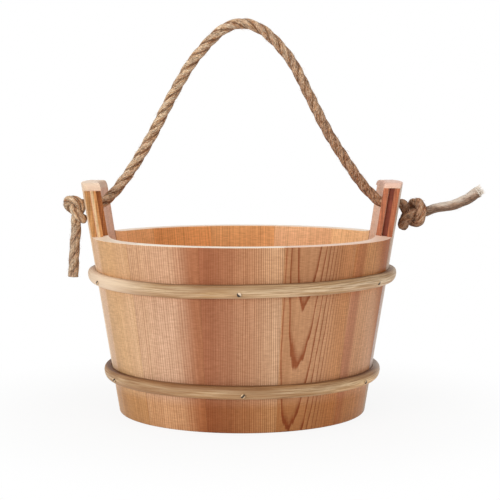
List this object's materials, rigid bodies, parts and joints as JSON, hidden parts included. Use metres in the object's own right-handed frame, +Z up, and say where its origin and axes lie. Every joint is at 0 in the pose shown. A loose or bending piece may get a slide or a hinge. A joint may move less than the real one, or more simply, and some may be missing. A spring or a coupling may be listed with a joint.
{
  "type": "sauna bucket",
  "caption": "Tapered wooden sauna bucket of tongued staves with two raised ears, cane hoops pinned by small nails, a boarded bottom and a knotted rope handle.",
  "frame": {"origin": "centre of the bucket at floor level, under the middle of the wooden body", "axes": "+Z up, +X from ear to ear towards the right ear, -Y the front seen in the picture"},
  "size_m": [0.3859, 0.2862, 0.361],
  "materials": {
    "stave_wood": "planed softwood, satin",
    "ear_wood": "planed softwood, satin",
    "board_wood": "planed softwood, bare",
    "cane": "split cane with its smooth skin outside",
    "nail_steel": "dull round heads",
    "rope": "three-strand twisted natural fibre"
  },
  "bodies": {
    "bucket": {"stave_01": "stave_wood", "stave_02": "stave_wood", "stave_03": "stave_wood", "stave_04": "stave_wood", "stave_05": "stave_wood", "stave_06": "stave_wood", "stave_07": "stave_wood", "stave_08": "stave_wood", "stave_09": "stave_wood", "stave_10": "stave_wood", "ear_stave_left": "ear_wood", "ear_stave_right": "ear_wood", "bottom_board_1": "board_wood", "bottom_board_2": "board_wood", "bottom_board_3": "board_wood", "hoop_upper": "cane", "hoop_lower": "cane", "nail_upper_1": "nail_steel", "nail_upper_2": "nail_steel", "nail_upper_3": "nail_steel", "nail_upper_4": "nail_steel", "nail_upper_5": "nail_steel", "nail_upper_6": "nail_steel", "nail_lower_1": "nail_steel", "nail_lower_2": "nail_steel", "nail_lower_3": "nail_steel", "nail_lower_4": "nail_steel", "nail_lower_5": "nail_steel", "nail_lower_6": "nail_steel", "left_knot": "rope", "right_knot": "rope", "left_tail": "rope", "right_tail": "rope"},
    "handle": {"rope_arch": "rope"}
  },
  "joints": [
    {"name": "handle_swing", "type": "hinge", "parent": "bucket", "child": "handle", "pos_m": [0, 0, 0.191], "axis": [1, 0, 0], "range_deg": [-100, 100]}
  ]
}
